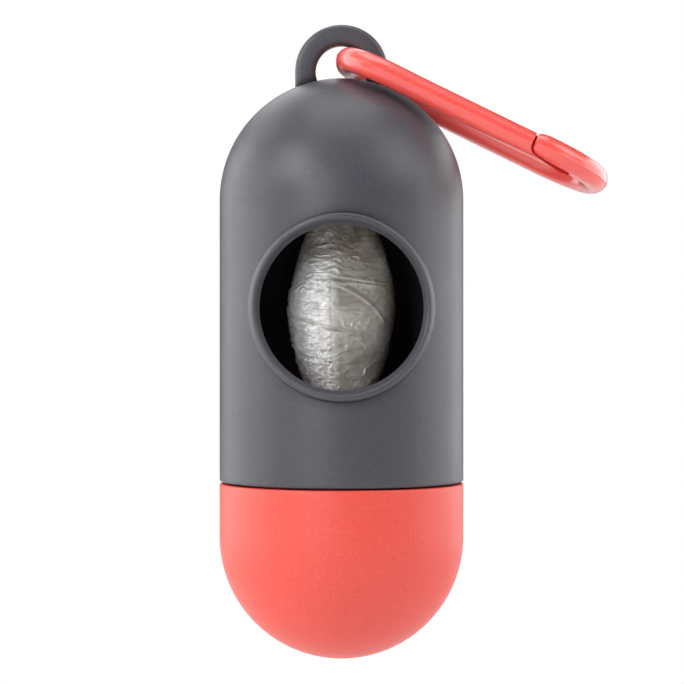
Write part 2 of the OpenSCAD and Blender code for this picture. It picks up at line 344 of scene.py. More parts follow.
def thread(name, root_r, start_z, outwards, material):
    """A thread ridge swept along a helix by Geometry Nodes; outwards is 1 on a neck and -1 in a socket."""
    tree = bpy.data.node_groups.new(name, "GeometryNodeTree")
    sizes = {"Root radius": root_r, "Start height": start_z, "Rise": PITCH * TURNS, "Turns": TURNS,
             "Root width": RIDGE_W, "Crest width": CREST_W, "Ridge height": RIDGE_H,
             "Facing": math.radians(-90) * outwards}
    for label in sizes:
        tree.interface.new_socket(label, in_out="INPUT", socket_type="NodeSocketFloat")
    tree.interface.new_socket("Geometry", in_out="OUTPUT", socket_type="NodeSocketGeometry")
    given = add(tree, "NodeGroupInput").outputs
    helix = add(tree, "GeometryNodeCurveSpiral", {
        "Resolution": 96, "Rotations": given["Turns"], "Start Radius": given["Root radius"],
        "End Radius": given["Root radius"], "Height": given["Rise"], "Reverse": True})
    start = add(tree, "ShaderNodeCombineXYZ", {"Z": given["Start height"]})
    raised = add(tree, "GeometryNodeTransform", {"Geometry": helix, "Translation": start})
    upright = add(tree, "GeometryNodeSetCurveNormal", {"Curve": raised}, mode="Z_UP")
    along = add(tree, "GeometryNodeSplineParameter").outputs["Factor"]
    from_middle = add(tree, "ShaderNodeMath", {0: along, 1: 0.5}, operation="SUBTRACT")
    distance = add(tree, "ShaderNodeMath", {0: from_middle}, operation="ABSOLUTE")
    fade = add(tree, "ShaderNodeMapRange", {0: distance, 1: 0.5, 2: 0.5 - RUN_OUT, 3: 0.05, 4: 1})
    outline = add(tree, "GeometryNodeCurvePrimitiveQuadrilateral", {
        "Height": given["Ridge height"], "Bottom Width": given["Root width"],
        "Top Width": given["Crest width"], "Offset": 0}, mode="TRAPEZOID")
    # The outline stands on its root, a twentieth of its height deep in the wall
    lift = add(tree, "ShaderNodeMath", {0: given["Ridge height"], 1: 0.45}, operation="MULTIPLY")
    seat = add(tree, "ShaderNodeCombineXYZ", {"Y": lift})
    seated = add(tree, "GeometryNodeTransform", {"Geometry": outline, "Translation": seat})
    facing = add(tree, "ShaderNodeCombineXYZ", {"Z": given["Facing"]})
    turned = add(tree, "GeometryNodeTransform", {"Geometry": seated, "Rotation": facing})
    ridge = add(tree, "GeometryNodeCurveToMesh", {
        "Curve": upright, "Profile Curve": turned, "Scale": fade, "Fill Caps": True})
    realized = add(tree, "GeometryNodeRealizeInstances", {"Geometry": ridge})
    done = add(tree, "GeometryNodeSetMaterial", {"Geometry": realized, "Material": material})
    add(tree, "NodeGroupOutput", {"Geometry": done})
    piece = bpy.data.objects.new(name, bpy.data.meshes.new(name))
    bpy.context.scene.collection.objects.link(piece)
    sweep = piece.modifiers.new("sweep", "NODES")
    sweep.node_group = tree
    for item in tree.interface.items_tree:
        if item.in_out == "INPUT":
            sweep[item.identifier] = float(sizes[item.name])
    settle(piece)
    weld(piece.data)
    smooth(piece.data, 30)
    return piece


case_thread = thread("case_thread", CASE_INNER_R, CASE_FOOT_Z + RIDGE_W, -1, case_abs)
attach(case_thread, "case_body")


# ---- Cap ----
# The lower shell, moulded in coral ABS with a fine matt finish. Its threaded neck runs up inside the
# case, and a hollow post stands in its bowl, with a spigot on top that carries the roll.
CAP_TOP_Z = -67.5 * MM
CAP_DOME_Z = -76.2 * MM
NECK_R = 17.2 * MM
NECK_BORE_R = 15.7 * MM
NECK_TOP_Z = -58.5 * MM
NECK_FILLET = 0.15 * MM
NECK_EDGE = 0.4 * MM
BOWL_Z = -78.7 * MM
BOWL_FLOOR_Z = BOWL_Z - NECK_BORE_R
POST_TOP_Z = -67.1 * MM
POST_BASE_R = 6 * MM
POST_TOP_R = 4.5 * MM
POST_FILLET = 0.5 * MM
POST_EDGE = 0.4 * MM
POST_BORE_R = 1.3 * MM
POST_BORE_FOOT_Z = BOWL_FLOOR_Z + 6 * MM
SPIGOT_R = 2.72 * MM
SPIGOT_TOP_Z = -61.1 * MM
SPIGOT_LEAD = 0.5 * MM
SPIGOT_EDGE = 0.4 * MM

# The outline runs from the foot up the outside and the neck, and down the bore and the bowl to the post
cap_outline = [(BODY_R * math.sin(a), CAP_DOME_Z - BODY_R * math.cos(a)) for a in steps(0, math.pi / 2, 36)]
cap_outline += [(BODY_R, z) for z in steps(CAP_DOME_Z, CAP_TOP_Z - SEAM_ROUND, 6)[1:-1]]
cap_outline += seam_edge(CAP_TOP_Z, 1)
cap_outline += [(NECK_R + NECK_FILLET, CAP_TOP_Z), (NECK_R, CAP_TOP_Z + NECK_FILLET)]
cap_outline += [(NECK_R, z) for z in steps(CAP_TOP_Z, NECK_TOP_Z, 6)[1:-1]]
cap_outline += [(NECK_R, NECK_TOP_Z - NECK_EDGE), (NECK_R - 0.3 * NECK_EDGE, NECK_TOP_Z - 0.3 * NECK_EDGE),
                (NECK_R - NECK_EDGE, NECK_TOP_Z)]
cap_outline += [(NECK_BORE_R + BORE_EDGE, NECK_TOP_Z), (NECK_BORE_R, NECK_TOP_Z - BORE_EDGE)]
cap_outline += [(NECK_BORE_R, z) for z in steps(NECK_TOP_Z, BOWL_Z, 8)[1:-1]]
bowl_end = math.asin((POST_BASE_R + POST_FILLET) / NECK_BORE_R)
cap_outline += [(NECK_BORE_R * math.sin(a), BOWL_Z - NECK_BORE_R * math.cos(a))
                for a in steps(math.pi / 2, bowl_end, 26)]

# The post's foot is rounded into the bowl, its side tapers to the top, and its bore is open above
post_foot_z = BOWL_Z - NECK_BORE_R * math.cos(bowl_end)
cap_outline += [(POST_BASE_R + 0.1 * MM, post_foot_z + 0.12 * MM)]
cap_outline += [(POST_BASE_R - 0.06 * MM, post_foot_z + 0.6 * MM)]
cap_outline += [(POST_TOP_R + 0.04 * MM, POST_TOP_Z - 0.5 * MM)]
cap_outline += [(POST_TOP_R - POST_EDGE / 4, POST_TOP_Z - POST_EDGE / 4)]
cap_outline += [(POST_TOP_R - POST_EDGE, POST_TOP_Z)]
cap_outline += [(SPIGOT_R, POST_TOP_Z), (SPIGOT_R, SPIGOT_TOP_Z - SPIGOT_LEAD)]
cap_outline += [(SPIGOT_R - SPIGOT_EDGE, SPIGOT_TOP_Z), (POST_BORE_R, SPIGOT_TOP_Z)]
cap_outline += [(POST_BORE_R, POST_BORE_FOOT_Z), (0, POST_BORE_FOOT_Z)]

# No part of the cap is above 0, so no shade is painted into its crevices
cap_abs = matt_moulding("cap_abs", "#dc4a3f", worn="#e35448", roughness=0.45, shade_above=0)
cap_shell = ([], [])
lay(cap_shell, [ring(r, z) for r, z in cap_outline], wrap=True)
cap = mesh_piece("cap_shell", cap_shell, cap_abs)
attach(cap, "cap_body")
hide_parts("cap")

cap_thread = thread("cap_thread", NECK_R, CASE_FOOT_Z + RIDGE_W + PITCH / 2, 1, cap_abs)
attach(cap_thread, "cap_body")


# ---- Ribs round the post ----
# Four thin webs of the cap's own coral ABS, moulded with it, that run from the post to the bowl and
# stiffen both.
RIBS = 4
RIB_T = 1.2 * MM
RIB_TOP_Z = BOWL_FLOOR_Z + 11.7 * MM
RIB_SINK = 0.4 * MM
RIB_POST_REACH = 1.2 * MM
RIB_DEGREES = (48.5, 17)
rib_tree = bpy.data.node_groups.new("cap_ribs", "GeometryNodeTree")
rib_tree.interface.new_socket("Ribs", in_out="INPUT", socket_type="NodeSocketInt")
rib_tree.interface.new_socket("Thickness", in_out="INPUT", socket_type="NodeSocketFloat")
rib_tree.interface.new_socket("Geometry", in_out="OUTPUT", socket_type="NodeSocketGeometry")

# The outline of one rib: a short level top at the post, and an arc that is sunk in the bowl and
# runs between RIB_DEGREES from the bowl's lowest point
rib_outline = [(POST_BASE_R - RIB_POST_REACH, RIB_TOP_Z), (POST_BASE_R + RIB_POST_REACH, RIB_TOP_Z)]
rib_arc_r = NECK_BORE_R + RIB_SINK
rib_outline += [(rib_arc_r * math.sin(math.radians(d)), BOWL_Z - rib_arc_r * math.cos(math.radians(d)))
                for d in steps(*RIB_DEGREES, 8)]
rib_mesh = bpy.data.meshes.new("rib_outline")
rib_mesh.from_pydata([(r, 0, z) for r, z in rib_outline], [], [tuple(range(len(rib_outline)))])
rib_source = bpy.data.objects.new("rib_outline", rib_mesh)

rib_given = add(rib_tree, "NodeGroupInput").outputs
flat = add(rib_tree, "GeometryNodeObjectInfo", {"Object": rib_source}).outputs["Geometry"]
extruded = add(rib_tree, "GeometryNodeExtrudeMesh", {
    "Mesh": flat, "Offset Scale": rib_given["Thickness"], "Individual": False})
back = add(rib_tree, "GeometryNodeFlipFaces", {"Mesh": flat})
closed = add(rib_tree, "GeometryNodeJoinGeometry", {"Geometry": extruded})
feed(rib_tree, closed, {"Geometry": back})
half_t = add(rib_tree, "ShaderNodeMath", {0: rib_given["Thickness"], 1: 0.5}, operation="MULTIPLY")
to_middle = add(rib_tree, "ShaderNodeCombineXYZ", {"Y": half_t})
centred = add(rib_tree, "GeometryNodeTransform", {"Geometry": closed, "Translation": to_middle})
spots = add(rib_tree, "GeometryNodeMeshLine", {"Count": rib_given["Ribs"], "Offset": (0, 0, 0)})
number = add(rib_tree, "GeometryNodeInputIndex")
part_turn = add(rib_tree, "ShaderNodeMath", {0: math.tau, 1: rib_given["Ribs"]}, operation="DIVIDE")
angle = add(rib_tree, "ShaderNodeMath", {0: number, 1: part_turn}, operation="MULTIPLY")
heading = add(rib_tree, "ShaderNodeCombineXYZ", {"Z": angle})
set_round = add(rib_tree, "GeometryNodeInstanceOnPoints", {
    "Points": spots, "Instance": centred, "Rotation": heading})
rib_real = add(rib_tree, "GeometryNodeRealizeInstances", {"Geometry": set_round})
rib_done = add(rib_tree, "GeometryNodeSetMaterial", {"Geometry": rib_real, "Material": cap_abs})
add(rib_tree, "NodeGroupOutput", {"Geometry": rib_done})

ribs = bpy.data.objects.new("cap_ribs", bpy.data.meshes.new("cap_ribs"))
bpy.context.scene.collection.objects.link(ribs)
array = ribs.modifiers.new("array", "NODES")
array.node_group = rib_tree
for item in rib_tree.interface.items_tree:
    if item.in_out == "INPUT":
        array[item.identifier] = {"Ribs": RIBS, "Thickness": float(RIB_T)}[item.name]
settle(ribs)
bpy.data.objects.remove(rib_source)
weld(ribs.data)
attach(ribs, "cap_body")


# ---- Roll core ----
# A small tube wound from brown kraft paper, on which the bags are wound. It is pushed onto the
# cap's spigot and stands on the post.
CORE_R = 3.6 * MM
CORE_BORE_R = 2.8 * MM
CORE_FOOT_Z = -67 * MM
CORE_TOP_Z = -11 * MM
CORE_EDGE = 0.1 * MM
core_outline = [(CORE_R, z) for z in steps(CORE_FOOT_Z + CORE_EDGE, CORE_TOP_Z - CORE_EDGE, 24)]
core_outline += [(CORE_R - CORE_EDGE, CORE_TOP_Z), (CORE_BORE_R + CORE_EDGE, CORE_TOP_Z)]
core_outline += [(CORE_BORE_R, z) for z in steps(CORE_TOP_Z - CORE_EDGE, CORE_FOOT_Z + CORE_EDGE, 24)]
core_outline += [(CORE_BORE_R + CORE_EDGE, CORE_FOOT_Z), (CORE_R - CORE_EDGE, CORE_FOOT_Z)]
core_outline += [core_outline[0]]

# Kraft paper is dull and brown, with long fibres that show as fine streaks up the tube and fuzz its
# surface. The fibres are drawn over ten times as wide as real ones, so that they show.
FIBRE = 0.4 * MM
FUZZ = 0.03 * MM
kraft, tree, shader = new_material("kraft_paper", IOR=1.5, Roughness=0.85)
at = add(tree, "ShaderNodeTexCoord").outputs["Object"]
drawn_out = add(tree, "ShaderNodeMapping", {"Vector": at, "Scale": (1, 1, 0.2)})
fibre = add(tree, "ShaderNodeTexNoise", {"Vector": drawn_out, "Scale": 1 / FIBRE, "Detail": 5})
brown = add(tree, "ShaderNodeMix", {0: fibre, 6: linear("#a98b62"), 7: linear("#cbb08a")}, data_type="RGBA")
fuzz = add(tree, "ShaderNodeBump", {"Strength": 0.4, "Distance": FUZZ, "Height": fibre})
feed(tree, shader, {"Base Color": brown, "Normal": fuzz})

core_shell = ([], [])
lay(core_shell, [ring(r, z, range(0, COLUMNS, 3)) for r, z in core_outline], wrap=True)
core = mesh_piece("core_tube", core_shell, kraft)
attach(core, "core_body")
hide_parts("roll_core")


# ---- Bag roll ----
# Thin polythene bags wound on the core, fuller at the middle where they are folded. The film is
# blown, folded and wound loosely, so each layer lies in fine creases that run round the roll.
ROLL_Z = WINDOW_Z
ROLL_L = 54 * MM
ROLL_R = 8.85 * MM
ROLL_END_R = 4.5 * MM
BELLY_UP = 18 * MM
BELLY_DOWN = 0.93 * BELLY_UP
BELLY_FALL = 1.45
FILM_T = 0.3 * MM
FILM_CLEAR = 0.08 * MM
WOUND_R = CORE_R + 0.05 * MM
CALM_L = 2 * MM
EDGE_DEGREES = -12
BACK_DEGREES = -116


def roll_radius(up):
    """The roll's radius at a height above its middle: a belly between two slim ends."""
    s = min(1, abs(up) / (BELLY_UP if up > 0 else BELLY_DOWN))
    return ROLL_END_R + (ROLL_R - ROLL_END_R) * (1 - s * s) ** BELLY_FALL


def creased(angle, up, seed, crisp):
    """How far the film stands in or out at a point of the roll; crisp makes its creases deeper.

    Each noise is given the length of its waves round the roll and their width up it."""
    round_it = angle * ROLL_R
    broad = noise.noise(Vector((round_it / (7 * MM), up / (3.4 * MM), seed)))
    long_fine = noise.noise(Vector((round_it / (3.6 * MM) + 2 * broad, up / (0.9 * MM), seed + 7)))
    bent = round_it / (2.6 * MM) + broad, up / (0.75 * MM) + 3 * broad
    short_fine = noise.noise(Vector((*bent, seed + 13)))
    slanted = round_it / (2.2 * MM) + up / (1.1 * MM), up / (0.9 * MM) - round_it / (3 * MM)
    cross = noise.noise(Vector((*slanted, seed + 21)))
    high = 0.15 * broad + (0.08 + 0.1 * crisp) * (1 - abs(long_fine)) ** 6
    ridges = 0.1 * (1 - abs(short_fine)) ** 5 + 0.09 * (1 - abs(cross)) ** 6
    high += 0.04 * short_fine + crisp * (ridges - 0.09)
    return high * MM


def film_point(angle, up, radius):
    """A point of the roll, at an angle round its axis and a height above its middle."""
    return Vector((radius * math.cos(angle), radius * math.sin(angle), ROLL_Z + up))


def end_calm(up):
    """The share of the creases that is left near the roll's ends, where the film lies tight."""
    return min(1, max(0, (ROLL_L / 2 - abs(up)) / CALM_L))


# Polythene film is clear to milky and glossy. One layer shows the darker roll under it, two layers
# look silver white, and near the top, where the bags are gathered, the folds are painted a brownish
# grey that is partly their own tint and partly painted shade among the folds.
# Its patterns are laid out in millimetres round the roll and up it, and drawn out round it.
SWAY_MM = 2.86
CREASE_MM = 1.053
FACET_MM = 0.87
LAYER_MM = 4.55
DRAWN_OUT = 0.38
polythene, tree, shader = new_material("polythene_film", IOR=1.51, Specular_IOR_Level=1.0,
                                       Coat_Weight=1.0, Coat_Roughness=0.2)
at = add(tree, "ShaderNodeTexCoord").outputs["Object"]
xyz = add(tree, "ShaderNodeSeparateXYZ", {"Vector": at}).outputs
ahead = add(tree, "ShaderNodeMath", {0: xyz["Y"], 1: -1}, operation="MULTIPLY")
turned = add(tree, "ShaderNodeMath", {0: xyz["X"], 1: ahead}, operation="ARCTAN2")
degrees = add(tree, "ShaderNodeMath", {0: turned, 1: math.degrees(1)}, operation="MULTIPLY")
up_mm = add(tree, "ShaderNodeMath", {0: xyz["Z"], 1: 1 / MM, 2: -ROLL_Z / MM}, operation="MULTIPLY_ADD")
round_mm = add(tree, "ShaderNodeMath", {0: turned, 1: ROLL_R / MM}, operation="MULTIPLY")
unrolled = add(tree, "ShaderNodeCombineXYZ", {"X": round_mm, "Y": up_mm})

# Creases and facets follow lines that sway up and down by up to 1.5 mm
sway = add(tree, "ShaderNodeTexNoise", {"Vector": unrolled, "Scale": 1 / SWAY_MM, "Detail": 2})
swayed = add(tree, "ShaderNodeMath", {0: sway, 1: 3, 2: -1.5}, operation="MULTIPLY_ADD")
stretched = add(tree, "ShaderNodeMath", {0: turned, 1: DRAWN_OUT * ROLL_R / MM}, operation="MULTIPLY")
up_swayed = add(tree, "ShaderNodeMath", {0: up_mm, 1: swayed}, operation="ADD")
wavy = add(tree, "ShaderNodeCombineXYZ", {"X": stretched, "Y": up_swayed})
creases = add(tree, "ShaderNodeTexNoise", {
    "Vector": wavy, "Scale": 1 / CREASE_MM, "Detail": 4, "Roughness": 0.55, "Distortion": 0.5},
    noise_type="RIDGED_MULTIFRACTAL")
facets = add(tree, "ShaderNodeTexVoronoi", {"Vector": wavy, "Scale": 1 / FACET_MM, "Randomness": 1})

# A second layer lies over the first between the back and the swaying line where it ends in front
from_edge = add(tree, "ShaderNodeMath", {0: swayed, 1: 3, 2: degrees}, operation="MULTIPLY_ADD")
past_edge = add(tree, "ShaderNodeMapRange", {0: from_edge, 1: EDGE_DEGREES - 6, 2: EDGE_DEGREES + 10})
past_back = add(tree, "ShaderNodeMapRange", {0: degrees, 1: BACK_DEGREES + 8, 2: BACK_DEGREES})
one_layer = add(tree, "ShaderNodeMath", {0: past_edge, 1: past_back}, operation="MAXIMUM")
gathered = add(tree, "ShaderNodeMapRange", {0: up_swayed, 1: 6.6, 2: 9.2})
layers = add(tree, "ShaderNodeTexNoise", {
    "Vector": unrolled, "Scale": 1 / LAYER_MM, "Detail": 4, "Roughness": 0.55})
few = add(tree, "ShaderNodeMapRange", {0: layers, 1: 0.4, 2: 0.62})
grey = add(tree, "ShaderNodeMix", {0: few, 6: linear("#9a928a"), 7: linear("#b4aea7")}, data_type="RGBA")
silver = add(tree, "ShaderNodeMix", {0: one_layer, 6: linear("#faf9f7"), 7: grey}, data_type="RGBA")
# Painted shade: the gathered folds at the top get a darker brownish grey, partly their own tint and partly
# the shade among them
many = add(tree, "ShaderNodeMapRange", {0: layers, 1: 0.42, 2: 0.6})
folded = add(tree, "ShaderNodeMix", {0: many, 6: linear("#7d7066"), 7: linear("#b0a59b")}, data_type="RGBA")
fold_shade_share = add(tree, "ShaderNodeMath", {0: gathered, 1: 0.65}, operation="MULTIPLY")
film = add(tree, "ShaderNodeMix", {0: fold_shade_share, 6: silver, 7: folded}, data_type="RGBA")
gloss = add(tree, "ShaderNodeMapRange", {0: one_layer, 3: 0.36, 4: 0.34})
# Two layers lie with air between them and mirror a little more
dull = add(tree, "ShaderNodeMath", {0: one_layer, 1: gathered}, operation="MAXIMUM")
silvery = add(tree, "ShaderNodeMapRange", {0: dull, 3: 0.1, 4: 0})

# Milky film spreads the light that enters it, so the roll's sides and foot look as light as if they
# faced more to the front. The bump tilts the shading that way and leaves the outline as it is.
SIDE_LEAN = 12.6
lean_left = add(tree, "ShaderNodeMapRange", {0: degrees, 1: -30, 2: -85, 4: SIDE_LEAN})
lean_right = add(tree, "ShaderNodeMapRange", {0: degrees, 1: 36, 2: 80, 4: SIDE_LEAN})
lean = add(tree, "ShaderNodeMath", {0: lean_left, 1: lean_right}, operation="ADD")
for place, begin, end, height in ((degrees, 5, -30, 4), (degrees, 8, 36, 4), (up_mm, 1, -13, 18)):
    begun = add(tree, "ShaderNodeMapRange", {0: place, 1: begin, 2: end})
    curved = add(tree, "ShaderNodeMath", {0: begun, 1: 2}, operation="POWER")
    lean = add(tree, "ShaderNodeMath", {0: curved, 1: height, 2: lean}, operation="MULTIPLY_ADD")
crease_share = add(tree, "ShaderNodeMapRange", {0: one_layer, 3: 0.5, 4: 0.2})
creased_by = add(tree, "ShaderNodeMath", {0: creases, 1: crease_share}, operation="MULTIPLY")
facet_share = add(tree, "ShaderNodeMapRange", {0: one_layer, 3: 1, 4: 0.35})
faceted_by = add(tree, "ShaderNodeMath", {0: facets, 1: facet_share}, operation="MULTIPLY")
crinkle = add(tree, "ShaderNodeMath", {0: creased_by, 1: faceted_by}, operation="ADD")
relief = add(tree, "ShaderNodeMath", {0: crinkle, 1: lean}, operation="ADD")
bump = add(tree, "ShaderNodeBump", {"Strength": 0.9, "Distance": FILM_T, "Height": relief})
feed(tree, shader, {"Base Color": film, "Roughness": gloss, "Metallic": silvery, "Normal": bump})

# The waves of the wound film are read on a circle, so that they close all round
whole_turn = [math.tau * j / 180 for j in range(180)]
roll_shell = ([], [])
roll_rows = [[film_point(a, -ROLL_L / 2, WOUND_R) for a in whole_turn]]
for up in steps(-ROLL_L / 2, ROLL_L / 2, 140):
    under = roll_radius(up) - FILM_T - FILM_CLEAR
    waves = [creased(math.sin(a) * 1.7, up, 3.1 + math.cos(a), 0) for a in whole_turn]
    calm = end_calm(up) * 0.6
    roll_rows.append([film_point(a, up, under + calm * wave) for a, wave in zip(whole_turn, waves)])
roll_rows.append([film_point(a, ROLL_L / 2, WOUND_R) for a in whole_turn])
roll_rows.append(roll_rows[0])
lay(roll_shell, roll_rows, wrap=True)
roll = mesh_piece("wound_film", roll_shell, polythene)
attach(roll, "roll_body")
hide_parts("bag_roll")


# ---- Outermost bag ----
# The bag that is pulled off next, of the same polythene film. It lies round about two thirds of the
# roll in long folds, and the edge of its second layer shows a little to the left of the front.
WRAP_DEGREES = 230
SEEN_DEGREES = 70
SEEN_H = 13.6 * MM
folds = (
    # start, slope and bend of its path in mm above the middle against degrees to the right of the
    # front, first and last degree, width below and above the path in mm, height in mm
    (3.44, -0.0649, -0.00088, -10, 56, 0.24, 0.9, 0.2),
    (-3.56, -0.0428, 0, -62, -2, 0.5, 0.24, 0.42),
    (-3.56, -0.0428, 0, -8, 22, 0.3, 0.5, 0.14),
    (5.1, -0.026, 0.0001, -10, 66, 0.24, 0.5, 0.2),
    (4.25, -0.012, 0, -10, 58, 0.5, 0.24, 0.2),
    (7.6, -0.006, 0.0003, -62, -12, 0.8, 0.3, 0.14),
    (-5.6, -0.02, 0.0004, -64, -16, 0.24, 0.7, 0.14),
    (-1.2, 0.03, 0.0008, 24, 48, 0.24, 0.6, 0.14),
)


def between(low, high, value):
    """How far a value is on its way from low to high, from 0 to 1."""
    return min(1, max(0, (value - low) / (high - low)))


def fold_height(degrees_right, up):
    """Height of the long folds of the outermost bag at a point."""
    high = 0
    for start, slope, bend, first, last, below, above, height in folds:
        ends = between(first - 4, first + 2, degrees_right) * between(last, last - 6, degrees_right)
        off = up / MM - start - slope * degrees_right - bend * degrees_right ** 2
        high += height * ends * max(0, min(1 + off / below, 1 - off / above))
    return high * MM


# The rows and columns are close together where the window shows them
bag_degrees = steps(-WRAP_DEGREES / 2, -SEEN_DEGREES, 18)
bag_degrees += steps(-SEEN_DEGREES, SEEN_DEGREES, 156)[1:]
bag_degrees += steps(SEEN_DEGREES, WRAP_DEGREES / 2, 18)[1:]
bag_heights = steps(-ROLL_L / 2, -SEEN_H, 20) + steps(-SEEN_H, SEEN_H, 164)[1:]
bag_heights += steps(SEEN_H, ROLL_L / 2, 20)[1:]
bag_shell = ([], [])
bag_rows = []
for up in bag_heights:
    out_row, in_row = [], []
    for d in bag_degrees:
        a = FRONT + math.radians(d)
        # The second layer is a little thicker and crisper, and pressed in at the upper left
        second = between(EDGE_DEGREES + 1, EDGE_DEGREES - 1, d)
        dent = between(-30, -60, d) * between(3 * MM, 6 * MM, up) * between(14 * MM, 10 * MM, up)
        crisp = 0.35 + second * (0.65 + 0.6 * between(-1 * MM, -7 * MM, up))
        level = (0.08 * second - 0.06 - 0.9 * dent) * MM
        lift = end_calm(up) * (creased(a, up, 0.4, crisp) + level + fold_height(d, up))
        out_row.append(film_point(a, up, roll_radius(up) + lift))
        in_row.append(film_point(a, up, roll_radius(up) - FILM_T + min(0, lift) * 0.5))
    bag_rows.append(out_row + list(reversed(in_row)))
lay(bag_shell, bag_rows, wrap=True)
width = len(bag_rows[0])
for start in (0, len(bag_shell[0]) - width):
    for j in range(width // 2 - 1):
        bag_shell[1].append((start + j, start + j + 1, start + width - 2 - j, start + width - 1 - j))
bag = mesh_piece("outer_bag_film", bag_shell, polythene)
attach(bag, "roll_body")
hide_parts("outer_bag")


# ---- Clip ----
# An oval snap clip moulded in one piece of glossy coral acetal. Its round bar runs from the sprung
# gate's root through the eye and round the far end to a nose that catches the gate.
WIRE_R = 2 * MM
NOSE_R = 2.05 * MM
NOSE_RISE = 0.4 * MM
GROWTH_Y = 5 * MM
SIDE_Y = 9 * MM
NEAR_R = 7 * MM
END_Y = 2 * MM
FAR_X = 35.9 * MM
NOSE_X = 32.9 * MM
TIP_X = 39.9 * MM
ROOT_X = 9 * MM
TIP_GAP = 0.2 * MM
TIP_TILT = 42
TIP_SLOPE = 12
NOSE_ROUND = 1 * MM
NOSE_SLIM = 0.45 * MM
NOSE_SLIM_L = 2.3 * MM
END_ROUND = 0.35 * MM
WIRE_SIDES = 48
PARTING_H = 0.08 * MM

# Its bar hangs near the rim of the eye's hole, and it droops until its sides come near the dome
EYE_PLAY = 0.3 * MM
DOME_GAP = 0.83 * MM
BEARING = math.radians(55)
pivot_r = EYE_R - WIRE_R - EYE_PLAY
PIVOT = Vector((pivot_r * math.cos(BEARING), 0, pivot_r * math.sin(BEARING)))
pivot_rise = PIVOT.z - DOME_Z
bar_drop = math.sqrt((BODY_R + WIRE_R + DOME_GAP) ** 2 - SIDE_Y ** 2)
DROOP = math.acos(bar_drop / math.hypot(PIVOT.x, pivot_rise)) + math.atan2(PIVOT.x, pivot_rise)
clip_place = Matrix.Translation(PIVOT) @ Matrix.Rotation(DROOP, 4, "Y")

# One tilted plane cuts the nose and the gate's tip
tilt = Matrix.Rotation(math.radians(-TIP_TILT), 3, "X")
slope = Matrix.Rotation(math.radians(TIP_SLOPE), 3, "Z")
lap_normal = tilt @ slope @ Vector((0, 1, 0))
lap_height = lap_normal.dot(Vector((NOSE_X, -SIDE_Y, 0)))
forward = Vector((1, 0, 0))
inside_way = Vector((0, 1, 0))


def bend_points(x, y, size, first, last, n):
    """Points of an arc round x, y from the first to the last degree, each with its direction."""
    return [(Vector((x + size * math.cos(a), y + size * math.sin(a), 0)),
             Vector((-math.sin(a), math.cos(a), 0)))
            for a in steps(math.radians(first), math.radians(last), n)]


def section(centre, along, radius, normal=None, height=0, keep=1):
    """One round section of the clip, cut flat where normal is given, on the side given by keep."""
    inwards = Vector((along.y, -along.x, 0))
    points = []
    for j in range(WIRE_SIDES):
        a = math.tau * j / WIRE_SIDES
        y, z = radius * math.cos(a), radius * math.sin(a)
        if j % (WIRE_SIDES // 2) == 0 and keep > 0:
            y += math.copysign(PARTING_H, y)
        p = centre + inwards * y + Vector((0, 0, z))
        if normal is not None:
            slide = normal - along * normal.dot(along)
            over = (normal.dot(p) - height) * keep
            if over > 0:
                p -= keep * over * slide / slide.length_squared
        points.append(clip_place @ p)
    return points


def nose_section(p, along, shrink=0, limit=None):
    """A section of the far end, which grows and rises on its way from the back to the nose."""
    grown = min(1, max(0, (GROWTH_Y - p.y) / (2 * GROWTH_Y)))
    grown = grown * grown * (3 - 2 * grown)
    centre = p + Vector((0, 0, NOSE_RISE * grown))
    radius = WIRE_R + (NOSE_R - WIRE_R) * grown - shrink
    if limit is None:
        return section(centre, along, radius)
    return section(centre, along, radius, lap_normal, lap_height - TIP_GAP - limit)


def clip_piece(name, rows, material):
    """A bar of the clip with both its ends closed."""
    shell = ([], [])
    lay(shell, rows, wrap=True)
    for start in (0, len(shell[0]) - WIRE_SIDES):
        shell[1].append(tuple(range(start, start + WIRE_SIDES)))
    return mesh_piece(name, shell, material, sharp=35)


# Acetal from a polished tool has a waxy gloss with faint flow marks along the bar, drawn wider than
# real ones so that they show. Its crevices have painted shade: their colour is mixed towards a deep red and
# their gloss and coat are taken away.
FLOW = 0.9 * MM
FLOW_DEPTH = 0.05 * MM
acetal, tree, shader = new_material("coral_acetal", IOR=1.48, Coat_Roughness=0.25)
at = add(tree, "ShaderNodeTexCoord").outputs["Object"]
lengthwise = add(tree, "ShaderNodeMapping", {
    "Vector": at, "Rotation": (0, -DROOP, 0), "Scale": (0.12, 1, 1)})
flow = add(tree, "ShaderNodeTexNoise", {"Vector": lengthwise, "Scale": 1 / FLOW, "Detail": 4})
coral = add(tree, "ShaderNodeMix", {0: flow, 6: linear("#ea4a44"), 7: linear("#f25a51")}, data_type="RGBA")
# Painted shade: occlusion finds the crevices, and their colour is mixed towards a dark red there
occlusion = add(tree, "ShaderNodeAmbientOcclusion", {"Distance": CREVICE / 2})
open_share = add(tree, "ShaderNodeMapRange", {0: occlusion.outputs["AO"], 1: 0.25, 2: 0.7})
shaded = add(tree, "ShaderNodeMix", {0: open_share, 6: linear("#d0262a"), 7: coral}, data_type="RGBA")
level = add(tree, "ShaderNodeMath", {0: open_share, 1: 0.5}, operation="MULTIPLY")
sheen = add(tree, "ShaderNodeMapRange", {0: flow, 1: 0.3, 2: 0.7, 3: 0.28, 4: 0.38})
ripple = add(tree, "ShaderNodeBump", {"Strength": 0.25, "Distance": FLOW_DEPTH, "Height": flow})
feed(tree, shader, {"Base Color": shaded, "Coat Weight": open_share, "Specular IOR Level": level,
                    "Roughness": sheen, "Normal": ripple})

